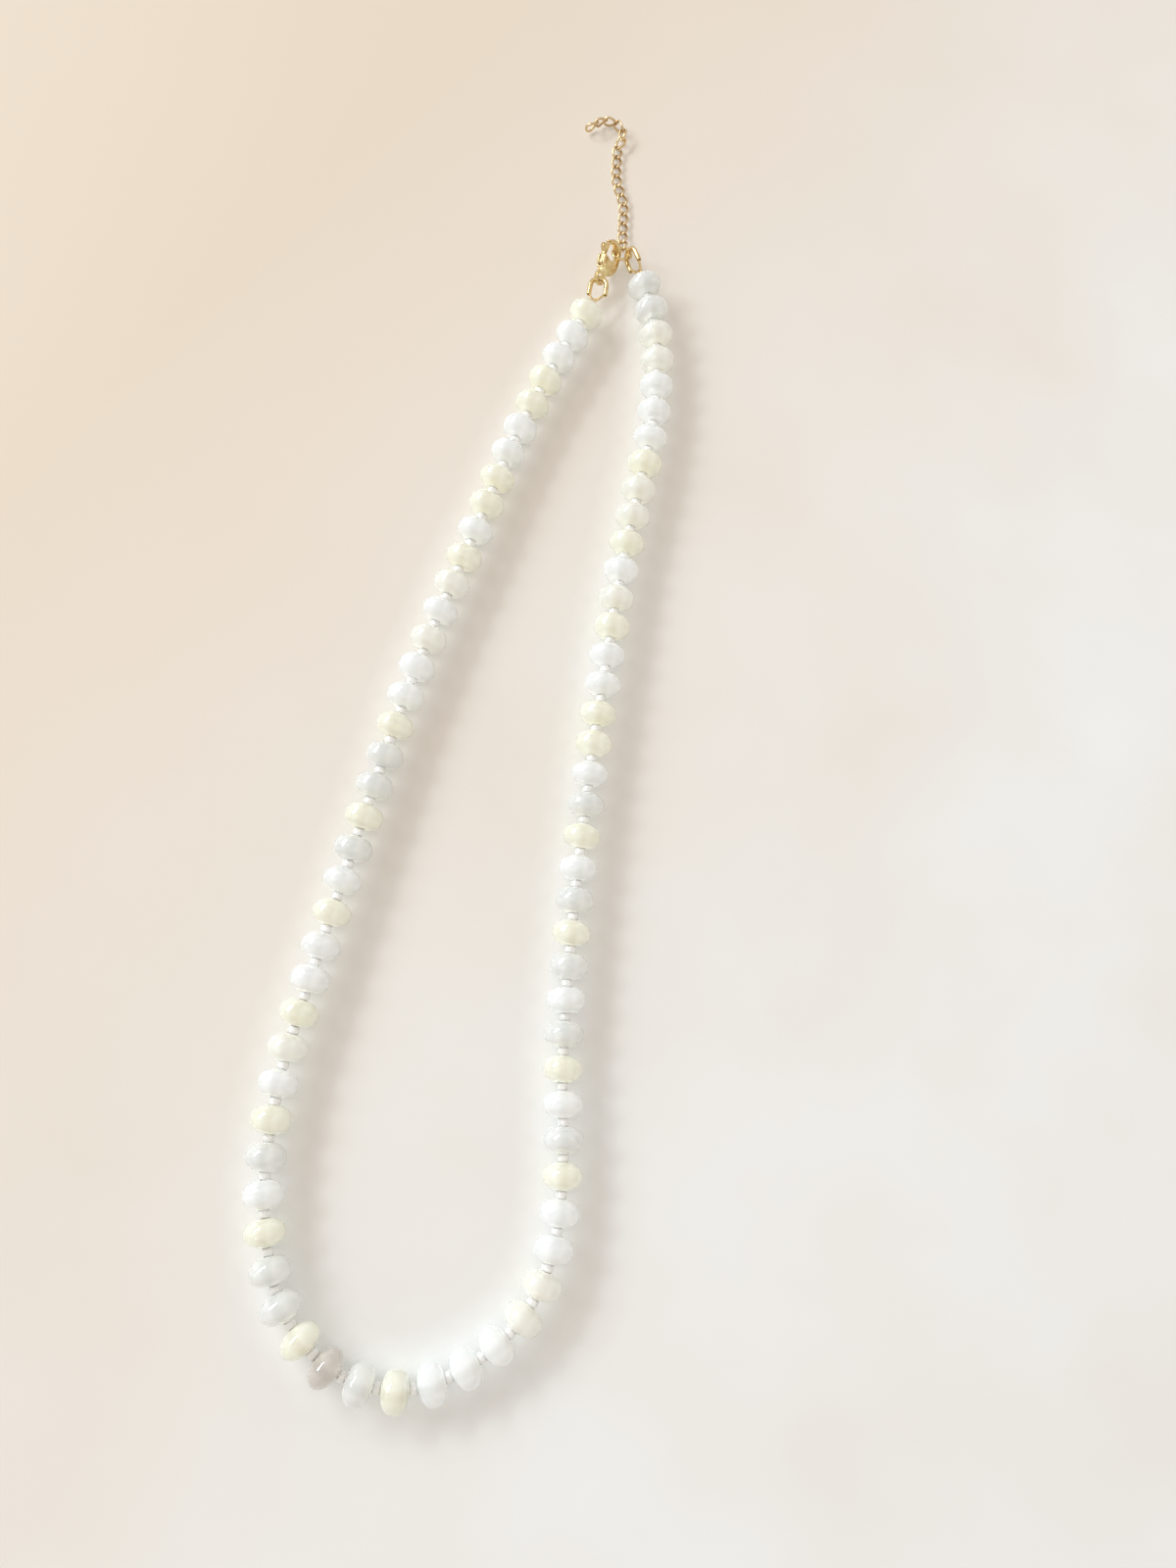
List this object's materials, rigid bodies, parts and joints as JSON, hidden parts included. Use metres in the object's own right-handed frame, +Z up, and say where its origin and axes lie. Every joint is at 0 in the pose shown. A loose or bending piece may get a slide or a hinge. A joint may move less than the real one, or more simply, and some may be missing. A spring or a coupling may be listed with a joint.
{
  "type": "beaded necklace",
  "caption": "Necklace of round stone rondelle beads with small seed beads between, a lobster clasp and a short extender chain, lying as a closed loop.",
  "frame": {"origin": "on the surface it lies on, under the middle of the box around the whole necklace", "axes": "+Y along the necklace from the bottom of the loop to the clasp and chain, +Z up from the surface, +X to the right seen from above with the clasp at the far end"},
  "size_m": [0.0676, 0.2182, 0.006],
  "materials": {
    "bead_stone": "polished milky stone in white, pale lemon and greyish tones, with small clear seed beads and a fine wire",
    "gold": "bright gold-plated brass"
  },
  "bodies": {
    "necklace": {"wire_guard_left": "gold", "bead_string_left": "bead_stone", "wire_guard_right": "gold", "bead_string_right": "bead_stone", "clasp_body": "gold", "jump_ring": "gold", "chain_link_01": "gold", "chain_link_02": "gold", "chain_link_03": "gold", "chain_link_04": "gold", "chain_link_05": "gold", "chain_link_06": "gold", "chain_link_07": "gold", "chain_link_08": "gold", "chain_link_09": "gold", "chain_link_10": "gold", "chain_link_11": "gold", "chain_link_12": "gold", "chain_link_13": "gold", "chain_link_14": "gold", "chain_link_15": "gold", "chain_link_16": "gold", "chain_link_17": "gold"},
    "lever": {"clasp_lever": "gold"}
  },
  "joints": [
    {"name": "clasp_lever_pivot", "type": "hinge", "parent": "necklace", "child": "lever", "pos_m": [0.02159, 0.07632, 0.00363], "axis": [-0.7402, 0.3515, -0.5732], "range_deg": [0, 20], "stiffness_Nm_per_rad": 0.0006, "springref_deg": -20.05}
  ]
}
